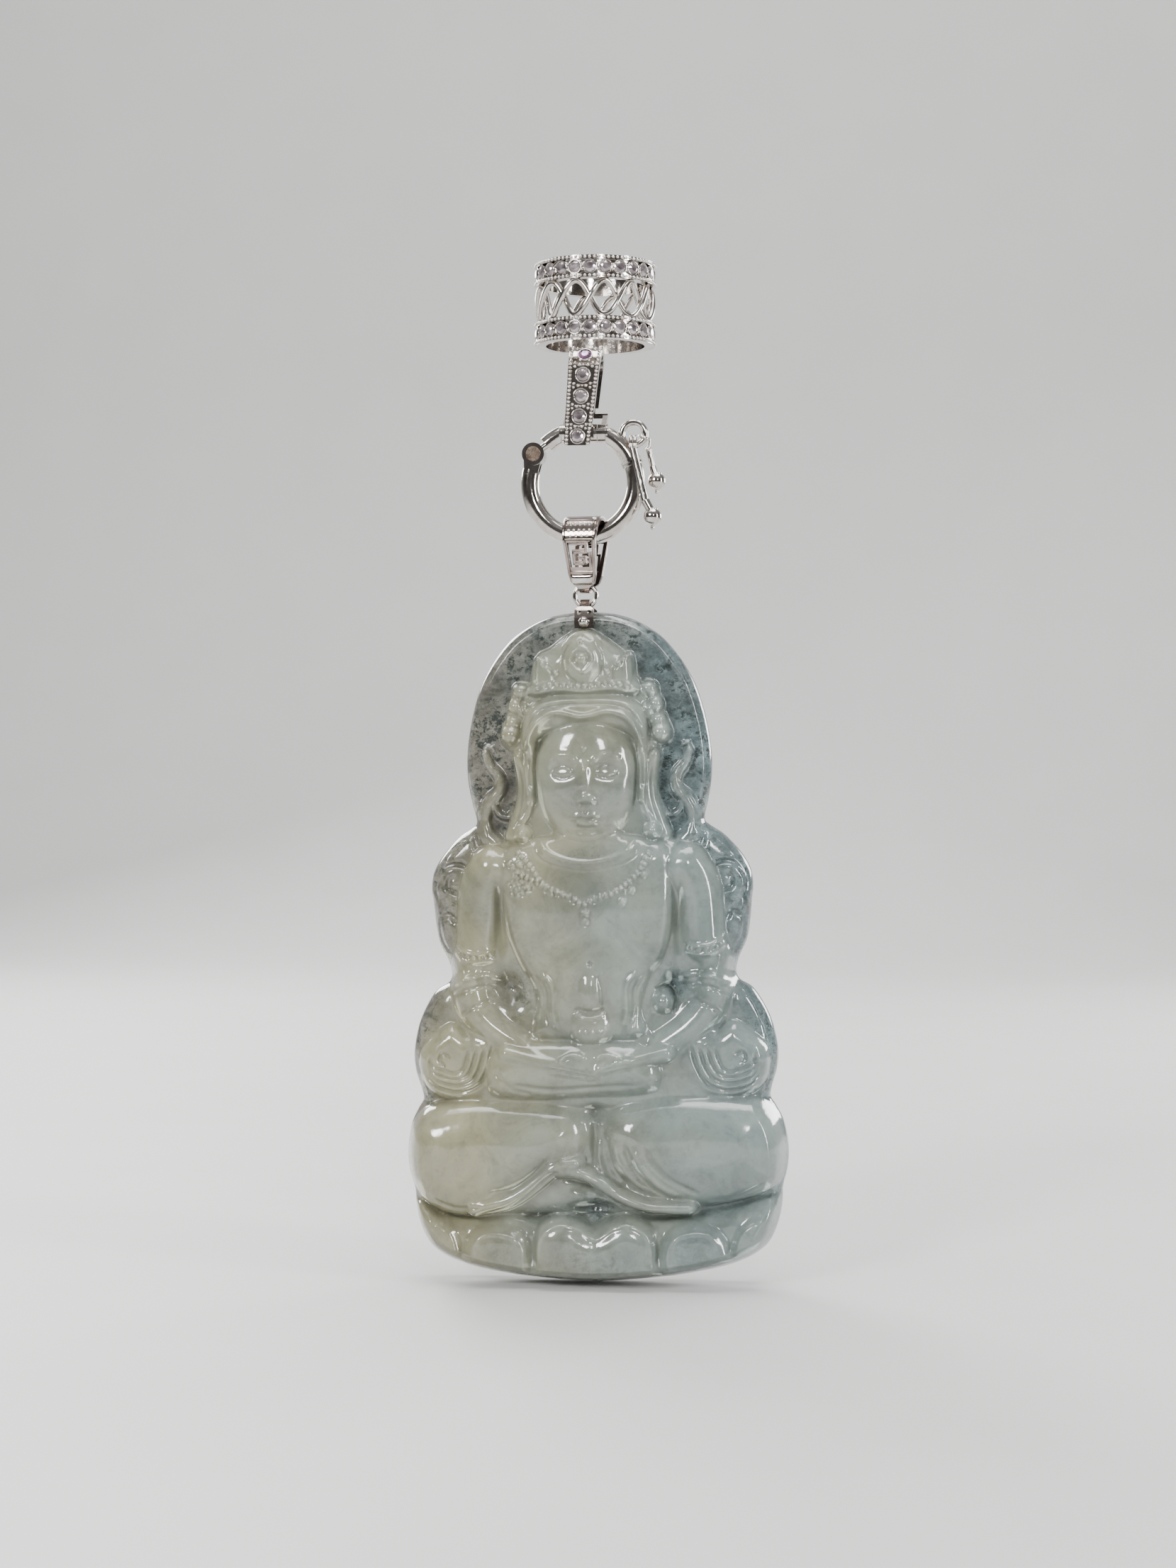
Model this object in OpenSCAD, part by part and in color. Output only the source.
// Jade seated-figure pendant on silver findings: barrel slider, hook bail,
// hinged ring clasp with two ball drops, fret bail, link, cap and carving.
// Millimetres. X to the wearer's left, +Y to the back, +Z up.
// Origin: the inner top of the hook bail's saddle, where a cord bears.

/* [Carving] */
// Height of the jade carving
jade_h = 60; // [58:0.5:62]
// Thickness of the plate behind the figure
jade_plate = 3.4; // [3.2:0.1:3.6]
// Depth of the figure in front of the plate's middle
jade_relief = 5.2; // [4.6:0.1:5.6]
// Lean of the carving in its own plane, degrees
jade_lean = 1.2; // [0:0.1:1.5]

/* [Clasp] */
// Centreline radius of the clasp ring
ring_r = 4.75; // [4.7:0.01:4.8]
// Radius of the clasp's round tube
tube_r = 0.81; // [0.78:0.01:0.84]
// Radius of the neck that the bail swings on
neck_r = 0.45; // [0.4:0.01:0.46]
// Radius of the hinge pin
pin_r = 0.38; // [0.34:0.01:0.39]

/* [Hook bail] */
// Inner radius of the saddle over the cord
saddle_r = 1.5; // [1.4:0.05:1.5]
// Thickness of the bail's strap
strap_t = 0.7; // [0.6:0.05:0.75]
// Radius of each round stone in the bail
hook_stone_r = 0.6; // [0.55:0.01:0.62]

/* [Barrel slider] */
// Outer radius of the slider's two rails
rail_r = 5.3; // [5.2:0.05:5.4]
// Inner radius of the slider, which the cord passes
bore_r = 4.4; // [4.3:0.05:4.45]
// Height of each rail
rail_h = 1.95; // [1.8:0.05:2]
// Number of stones round each rail
rail_stones = 24; // [20:1:26]
// Waves of each lattice wire round the slider
waves = 6; // [5:1:7]

/* [Hidden] */
$fn = 64;
silver = [0.80, 0.80, 0.78];
dark_silver = [0.62, 0.61, 0.60];
stone_c = [0.72, 0.66, 0.66];
jade_c = [0.72, 0.77, 0.72];

// Clasp ring: centre, axle height, hinge and latch
cx = -0.1;
cz = -11.4;
axle_z = -6.95;
hinge_a = 149;
hinge_rad = 5.1;
hx = cx + hinge_rad * cos(hinge_a);
hz = cz + hinge_rad * sin(hinge_a);
latch_a = 23;
neck_left = -1.9;
neck_right = 2.1;

// Lug loop and the drops that hang from it
lx = 4.43;
lz = -7.02;
loop_r = 1.03;
loop_wire = 0.3;
side_a = -20;
sx = lx + loop_r * cos(side_a);
sz = lz + loop_r * sin(side_a);
front_ball = [6.2, -1.07, -14.45];
side_ball = [6.5, 0, -11.2];

// Fret bail: fold over the ring's lowest point, and the lower bend
fret_x = 0.15;
fret_yaw = 12;
fold_z = -16.3;
fold_in = 1.62;
fold_out = 2.03;
bend_z = -20.38;
bend_in = 0.42;
bend_out = 0.8;

// Link and cap
link_x = 0.15;
link_z = -21.39;
link_r = 0.97;
link_wire = 0.2;
jade_top = -22.8;
cap_z = -23.93;
rivet_z = -23.8;

// Barrel
bx = 1.0;
bz0 = 0.8;
bz1 = 6.05;
gap_mid = (bz0 + rail_h + bz1) / 2;
wave_a = (bz1 - bz0 - rail_h) / 2 - 0.25 + 0.08;
wire_mid = 4.85;

// ---------------------------------------------------------------- helpers
// A straight round rod between two points
module rod(p, q, r) {
    d = q - p;
    l = norm(d);
    translate(p) rotate([0, acos(d[2] / l), atan2(d[1], d[0])]) cylinder(h = l, r = r);
}
// A round tube along an arc in the XZ plane
module arc_tube(c, rad, r, a0, a1)
    translate([c[0], 0, c[1]]) rotate([90, 0, 0]) rotate([0, 0, a0])
        rotate_extrude(angle = a1 - a0) translate([rad, 0]) circle(r);
// A disc on an arc in the XZ plane, square to the arc
module arc_disc(c, rad, r, t, a)
    translate([c[0] + rad * cos(a), 0, c[1] + rad * sin(a)]) rotate([0, -a, 0]) cylinder(h = t, r = r, center = true);
// A cylinder along Y from y0 to y1
module y_cyl(x, z, r, y0, y1)
    translate([x, y1, z]) rotate([90, 0, 0]) cylinder(h = y1 - y0, r = r);
// A cylinder along X from x0 to x1
module x_cyl(y, z, r, x0, x1)
    translate([x0, y, z]) rotate([0, 90, 0]) cylinder(h = x1 - x0, r = r);
// A side profile drawn in (y, z), as thick as x0 to x1
module side_extrude(x0, x1)
    translate([x0, 0, 0]) rotate([90, 0, 90]) linear_extrude(x1 - x0) children();
// A front outline drawn in (x, z), as deep as y0 to y1
module front_extrude(y0, y1)
    translate([0, y1, 0]) rotate([90, 0, 0]) linear_extrude(y1 - y0) children();
// A round stone: girdle and bevelled crown, facing +Z
module stone(r, h) {
    cylinder(h = h * 0.5, r = r);
    translate([0, 0, h * 0.5]) cylinder(h = h * 0.5, r1 = r, r2 = r * 0.62);
}

// ---------------------------------------------------------------- hook bail
function hook_x(z) = 0.35 - 0.089 * (0.8 - z);
hook_stone_z = [-2.0, -3.85, -5.65, -7.4];
saddle_stone_a = 36;
module hook_seats(r, h) {
    for (z = hook_stone_z)
        translate([hook_x(z), -saddle_r - strap_t + 0.3, z]) rotate([90, 0, 0]) stone(r, h);
    translate([hook_x(-0.2), 0, -saddle_r]) rotate([saddle_stone_a + 90 - 2 * saddle_stone_a, 0, 0])
        translate([0, 0, saddle_r + strap_t - 0.3]) stone(r, h);
}
module hook_profile() {
    difference() {
        union() {
            translate([0, -saddle_r]) circle(saddle_r + strap_t, $fn = 96);
            translate([-saddle_r - strap_t, -8.2]) square([strap_t, 8.2 - saddle_r]);
            translate([saddle_r, -4.5]) square([0.5, 4.5 - saddle_r]);
        }
        translate([0, -saddle_r]) circle(saddle_r, $fn = 96);
        translate([-saddle_r, -9]) square([2 * saddle_r, 9 - saddle_r]);
        translate([saddle_r + 0.5, -9]) square([1, 9 - saddle_r - 0.4]);
    }
}
module hook_outline()
    polygon([[hook_x(1) - 1.45, 1], [hook_x(1) + 1.45, 1], [hook_x(-8) + 1.15, -8], [hook_x(-8) + 0.95, -8.3],
            [hook_x(-8) - 0.95, -8.3], [hook_x(-8) - 1.15, -8]]);
module bail_hook() color(silver) {
    difference() {
        union() {
            intersection() {
                side_extrude(-3, 3) hook_profile();
                front_extrude(-4, 4) hook_outline();
            }
            x_cyl(0, axle_z, 0.85, cx - 1.2, cx + 1.3);
            translate([cx - 1.1, -saddle_r - 0.1, axle_z - 0.45]) cube([2.2, saddle_r - 0.6, 0.9]);
        }
        x_cyl(0, axle_z, 0.5, cx - 2, cx + 2);
        hook_pockets();
    }
}
module hook_pockets() {
    for (z = hook_stone_z)
        y_cyl(hook_x(z), z, hook_stone_r + 0.03, -3, -saddle_r - strap_t + 0.32);
    translate([hook_x(-0.2), 0, -saddle_r]) rotate([90 - saddle_stone_a, 0, 0])
        translate([0, 0, saddle_r + strap_t - 0.32]) cylinder(h = 1, r = hook_stone_r + 0.03);
}
module hook_stones() color(stone_c) hook_seats(hook_stone_r, 0.5);

// Rear catch: two knuckles on the neck, posts, and a tongue that laps the bail's rear leaf
module bail_catch() color(silver) {
    difference() {
        union() {
            x_cyl(0, axle_z, 0.85, cx - 1.85, cx - 1.25);
            x_cyl(0, axle_z, 0.85, cx + 1.35, cx + 2.05);
            for (x = [cx - 1.82, cx + 1.62])
                side_extrude(x, x + 0.42)
                    polygon([[0.1, -6.2], [0.8, -6.95], [2.6, -5.1], [2.6, -4.9], [2.05, -4.9], [2.05, -5.0]]);
            translate([cx - 1.82, 2.05, -5.35]) cube([3.86, 0.5, 0.45]);
            translate([cx - 0.7, 2.05, -5.35]) cube([1.6, 0.4, 1.9]);
        }
        x_cyl(0, axle_z, 0.5, cx - 3, cx + 3);
    }
}

// ---------------------------------------------------------------- clasp
module clasp_gate() color(silver) {
    a_left = acos(neck_left / ring_r);
    a_right = acos(neck_right / ring_r);
    difference() {
        union() {
            difference() {
                union() {
                    arc_tube([cx, cz], ring_r, tube_r, latch_a + 0.5, a_right);
                    arc_tube([cx, cz], ring_r, tube_r, a_left, 133);
                }
                // room for the bail's and the catch's knuckles and posts
                x_cyl(0, axle_z, 1.3, cx + neck_left, cx + neck_right);
            }
            arc_disc([cx, cz], ring_r, tube_r + 0.12, 0.25, latch_a + 2);
            x_cyl(0, axle_z, neck_r, cx + neck_left - 0.5, cx + neck_right + 0.5);
            x_cyl(0, axle_z, 0.85, cx + neck_left - 0.15, cx + neck_left);
            x_cyl(0, axle_z, 0.85, cx + neck_right, cx + neck_right + 0.15);
            y_cyl(hx, hz, 1.0, -0.38, 0.38);
            rod([hx, 0, hz], [cx + ring_r * cos(131), 0, cz + ring_r * sin(131)], 0.36);
        }
        y_cyl(hx, hz, pin_r + 0.04, -2, 2);
        translate([cx + 4.1, -0.36, cz + 1.2]) cube([0.52, 0.72, 1.25]);
    }
}
module clasp_ring() color(silver) {
    difference() {
        union() {
            arc_tube([cx, cz], ring_r, tube_r, 165, 360 + latch_a - 0.5);
            arc_disc([cx, cz], ring_r, tube_r + 0.12, 0.25, latch_a - 2);
            for (y = [-1.1, 0.42]) {
                y_cyl(hx, hz, 1.0, y, y + 0.68);
                front_extrude(y == 0.42 ? 0.42 : -0.78, y == 0.42 ? 0.78 : -0.42)
                    translate([cx, cz]) polygon([[-5.25, 2.5], [-3.6, 2.3], [-4.0, 0.9], [-5.2, 0.9]]);
            }
        }
        y_cyl(hx, hz, pin_r + 0.02, -2, 2);
        y_cyl(hx, hz, 0.7, -2, -0.85);
        translate([cx + 4.22, -0.28, cz + 1.1]) cube([0.28, 0.56, 2]);
    }
}
module latch_tongue() color(dark_silver)
    translate([cx + 4.22, -0.28, cz + 1.1]) cube([0.28, 0.56, 1.2]);
module hinge_pin() color([0.55, 0.45, 0.38]) {
    y_cyl(hx, hz, pin_r, -0.95, 1.1);
    y_cyl(hx, hz, 0.66, -1.04, -0.87);
}
module lug_loop() color(silver) arc_tube([lx, lz], loop_r, loop_wire, 0, 360);

// ---------------------------------------------------------------- drops
front_arc_y = -0.12;
front_arc_z = lz - loop_r - 0.15;
front_arc_r = 0.95;
module front_drop_wire() color(silver) {
    foot = front_ball + [-0.55, 0, 1.0];
    for (s = [-0.18, 0.18]) {
        translate([lx + s, front_arc_y, front_arc_z]) rotate([0, 90, 0]) rotate([0, 0, 195])
            rotate_extrude(angle = 75) translate([front_arc_r, 0]) circle(0.17);
        top = [lx + s, front_arc_y - front_arc_r, front_arc_z];
        translate(top) sphere(0.19);
        rod(top, foot + [s, 0, 0], 0.16);
    }
    rod(foot + [-0.1, 0, 0.45], front_ball + [-0.2, 0, 0.6], 0.38);
}
module front_drop_ball() color(silver) {
    difference() {
        union() {
            translate(front_ball) sphere(0.8);
            rod(front_ball + [0, 0, -0.7], front_ball + [0, 0, -1.15], 0.17);
        }
        rod(front_ball + [-0.45, 0, 0.9], front_ball + [-0.2, 0, 0.6], 0.7);
        rod(front_ball + [-0.2, 0, 0.6], front_ball + [-0.2, 0, 0.3], 0.01);
    }
}
side_t = [-sin(side_a), 0, cos(side_a)];
side_n = [cos(side_a), 0, sin(side_a)];
module side_drop_wire() color(silver) {
    translate([sx, 0, sz]) rotate([0, atan2(side_t[0], side_t[2]), 0])
        rotate_extrude() translate([0.48, 0]) circle(0.13);
    start = [sx, 0, sz] + 0.5 * side_n;
    knee = [5.78, 0, -8.4];
    rod(start, knee, 0.11);
    translate(knee) sphere(0.27);
    rod(knee, side_ball + [-0.3, 0, 0.95], 0.24);
    rod(side_ball + [-0.42, 0, 1.3], side_ball + [-0.2, 0, 0.6], 0.34);
}
module side_drop_ball() color(silver) {
    difference() {
        union() {
            translate(side_ball) sphere(0.78);
            rod(side_ball + [-0.1, 0, -0.6], side_ball + [-0.35, 0, -1.4], 0.16);
        }
        rod(side_ball + [-0.42, 0, 1.3], side_ball + [-0.2, 0, 0.6], 0.5);
    }
}

// ---------------------------------------------------------------- fret bail
// The outline round two circles in (y, z), the lower one smaller
module band(r1, z1, r2, z2) {
    a = asin((r1 - r2) / (z1 - z2));
    n = 24;
    polygon(concat([for (i = [0:n]) let (t = -a + (180 + 2 * a) / n * i) [r1 * cos(t), z1 + r1 * sin(t)]],
            [for (i = [0:n]) let (t = 180 + a + (180 - 2 * a) / n * i) [r2 * cos(t), z2 + r2 * sin(t)]]));
}
// Fret bars that stay in the window, each [x0, z0, width, height]
fret_bars = [[-1.3, -16.0, 2.6, 0.3], [-1.3, -16.75, 2.0, 0.25], [0.45, -17.6, 0.25, 1.1], [-0.75, -17.6, 1.4, 0.25],
    [-0.75, -18.6, 0.25, 1.2], [-0.75, -18.6, 1.25, 0.25], [0.25, -18.6, 0.25, 0.7], [-0.25, -18.15, 0.7, 0.22],
    [-1.2, -19.2, 2.4, 0.3], [0.75, -19.2, 0.22, 1.6]];
module fret_outline()
    polygon([[-1.6, -14], [1.6, -14], [1.6, -15.4], [1.25, -19.6], [1.05, -20.3], [0.45, -20.75], [0.45, -21.5],
            [-0.45, -21.5], [-0.45, -20.75], [-1.05, -20.3], [-1.25, -19.6], [-1.6, -15.4]]);
module fret_window()
    difference() {
        polygon([[-1.25, -15.7], [1.25, -15.7], [0.95, -19.3], [-0.95, -19.3]]);
        for (b = fret_bars) translate([b[0], b[1]]) square([b[2], b[3]]);
    }
module fret_bail() color(silver)
    translate([fret_x, 0, 0]) rotate([0, 0, -fret_yaw])
        difference() {
            intersection() {
                side_extrude(-2, 2)
                    difference() {
                        band(fold_out, fold_z, bend_out, bend_z);
                        band(fold_in, fold_z, bend_in, bend_z);
                    }
                front_extrude(-3, 3) fret_outline();
            }
            front_extrude(-3, 3) fret_window();
        }

// ---------------------------------------------------------------- link, cap, rivet
module link_ring() color(silver) arc_tube([link_x, link_z], link_r, link_wire, 0, 360);
module jade_frame() translate([link_x, 0, link_z]) rotate([0, -jade_lean, 0]) translate([-link_x, 0, -link_z]) children();
module cap_outline()
    polygon([[link_x - 0.42, -21], [link_x + 0.42, -21], [link_x + 0.42, -22.3], [link_x + 0.85, -22.65], [link_x + 0.85, -24.35],
            [link_x - 0.85, -24.35], [link_x - 0.85, -22.65], [link_x - 0.42, -22.3]]);
module jade_cap() color(silver) jade_frame()
    difference() {
        intersection() {
            side_extrude(-2, 2)
                difference() {
                    union() {
                        translate([0, cap_z]) circle(2.28, $fn = 96);
                        translate([-2.28, -24.4]) square([4.56, 24.4 + cap_z]);
                    }
                    translate([0, cap_z]) circle(1.95, $fn = 96);
                    translate([-1.95, -26]) square([3.9, 26 + cap_z]);
                    translate([-3, -27]) square([6, 2.6]);
                }
            front_extrude(-3, 3) cap_outline();
        }
        y_cyl(link_x, rivet_z, 0.32, -3, 3);
        for (x = [-0.5, 0.5]) y_cyl(link_x + x * 0.9, -22.95, 0.2, -3, 3);
    }
module cap_rivet() color(silver) jade_frame() {
    y_cyl(link_x, rivet_z, 0.28, -2.55, 2.55);
    for (y = [-2.5, 2.5]) intersection() {
        translate([link_x, y, rivet_z]) sphere(0.46);
        translate([link_x - 1, y < 0 ? -3.2 : 2.3, rivet_z - 1]) cube([2, 0.9, 2]);
    }
}

// ---------------------------------------------------------------- carving
// Half-widths of the carving's outline, each [height above its base, half-width]
half_outline = [[0, 3.4], [0.5, 7.4], [1.2, 10.7], [2, 13.2], [3, 14.8], [4, 15.6], [5.5, 16.2], [7, 16.5], [8.5, 16.6],
    [10, 17.0], [11.5, 17.15], [13, 17.05], [14.5, 16.7], [15.7, 16.1], [16.5, 15.6], [17.5, 15.8], [19, 16.25],
    [20.5, 16.4], [22, 16.2], [23.5, 15.8], [25, 15.1], [26.3, 14.2], [27, 13.1], [27.8, 12.75], [29, 13.1], [30.5, 13.8],
    [32, 14.1], [34, 14.3], [35.5, 14.45], [37, 14.2], [38.5, 13.3], [40, 11.9], [40.8, 10.6], [41.3, 10.2], [43, 10.6],
    [45, 10.95], [47, 11.0], [49, 10.8], [51, 10.4], [53, 9.8], [54.5, 9.1], [56, 8.15], [57.5, 6.9], [58.5, 5.6],
    [59.3, 4.2], [59.8, 2.8], [60, 1.2]];
jade_s = jade_h / 60;
base_z = jade_top - jade_h;
module jade_outline()
    polygon(concat([for (p = half_outline) [link_x + p[1] * jade_s, base_z + p[0] * jade_s]],
            [for (i = [len(half_outline) - 1:-1:0]) [link_x - half_outline[i][1] * jade_s, base_z + half_outline[i][0] * jade_s]]));
// A front relief disc of the figure, at height v above the base
module relief_disc(x, v, r, depth) y_cyl(link_x + x, base_z + v * jade_s, r, -depth, 0);
module jade_figure() color(jade_c) jade_frame()
    difference() {
        union() {
            front_extrude(-jade_plate / 2, jade_plate / 2) jade_outline();
            // head and crown
            relief_disc(0, 46, 5.0, jade_relief - 0.6);
            relief_disc(0, 52, 4.2, jade_relief - 1.4);
            // shoulders and chest
            relief_disc(0, 33.5, 9.6, jade_relief - 1.6);
            relief_disc(-7.5, 32, 4.2, jade_relief - 1.8);
            relief_disc(7.5, 32, 4.2, jade_relief - 1.8);
            // lap, knees and lotus seat
            for (x = [-9.5, 9.5]) relief_disc(x, 17.5, 6.0, jade_relief - 0.4);
            translate([link_x - 9.5, -jade_relief + 0.4, base_z + 12]) cube([19, jade_relief - 0.6, 11.2]);
            translate([link_x - 13, -jade_relief + 1, base_z + 3]) cube([26, jade_relief - 1.2, 9.6]);
        }
        y_cyl(link_x, rivet_z, 0.32, -9, 9);
        // the top edge is rounded under the cap
        side_extrude(link_x - 1.2, link_x + 1.2) difference() {
            translate([-6, cap_z + 0.5]) square([12, 3]);
            translate([0, cap_z]) circle(1.86, $fn = 96);
        }
    }

// ---------------------------------------------------------------- barrel slider
module rail(z) translate([bx, 0, z])
    rotate_extrude($fn = 128)
        difference() {
            translate([bore_r, 0]) square([rail_r - bore_r, rail_h]);
            translate([rail_r - 0.3, 0.35]) square([1, rail_h - 0.7]);
        }
module stones_round(z) translate([bx, 0, z + rail_h / 2])
    for (i = [0:rail_stones - 1])
        rotate([0, 0, 360 / rail_stones * i]) translate([rail_r - 0.28, 0, 0]) rotate([0, 90, 0]) stone(0.58, 0.42);
module barrel_top_rail() color(silver) rail(bz1);
module barrel_bottom_rail() color(silver) rail(bz0);
module barrel_top_stones() color(stone_c) stones_round(bz1);
module barrel_bottom_stones() color(stone_c) stones_round(bz0);
// One lattice wire: a wave round the barrel that weaves in and out
function wave_p(t, s) = let (r = wire_mid + 0.28 * s * cos(waves * t)) [r * cos(t), r * sin(t), s * wave_a * sin(waves * t)];
function unit(v) = v / norm(v);
function ring_pts(t, s, r, n) =
    let (p = wave_p(t, s), d = unit(wave_p(t + 0.5, s) - wave_p(t - 0.5, s)), out = [cos(t), sin(t), 0],
        u = unit(out - (out * d) * d), v = cross(d, u))
    [for (k = [0:n - 1]) p + r * (cos(360 / n * k) * u + sin(360 / n * k) * v)];
module lattice(s) {
    rings = 20 * waves;
    n = 8;
    pts = [for (i = [0:rings - 1]) each ring_pts(360 / rings * i, s, 0.25, n)];
    faces = [for (i = [0:rings - 1]) for (k = [0:n - 1])
            let (a = i * n + k, b = i * n + (k + 1) % n, c = ((i + 1) % rings) * n + (k + 1) % n, e = ((i + 1) % rings) * n + k)
            each [[a, b, c], [a, c, e]]];
    translate([bx, 0, gap_mid]) polyhedron(pts, faces);
}
module lattice_wire_a() color(silver) lattice(1);
module lattice_wire_b() color(silver) lattice(-1);

bail_hook();
hook_stones();
bail_catch();
clasp_gate();
lug_loop();
clasp_ring();
latch_tongue();
hinge_pin();
front_drop_wire();
front_drop_ball();
side_drop_wire();
side_drop_ball();
fret_bail();
link_ring();
jade_cap();
cap_rivet();
jade_figure();
barrel_top_rail();
barrel_bottom_rail();
lattice_wire_a();
lattice_wire_b();
barrel_top_stones();
barrel_bottom_stones();
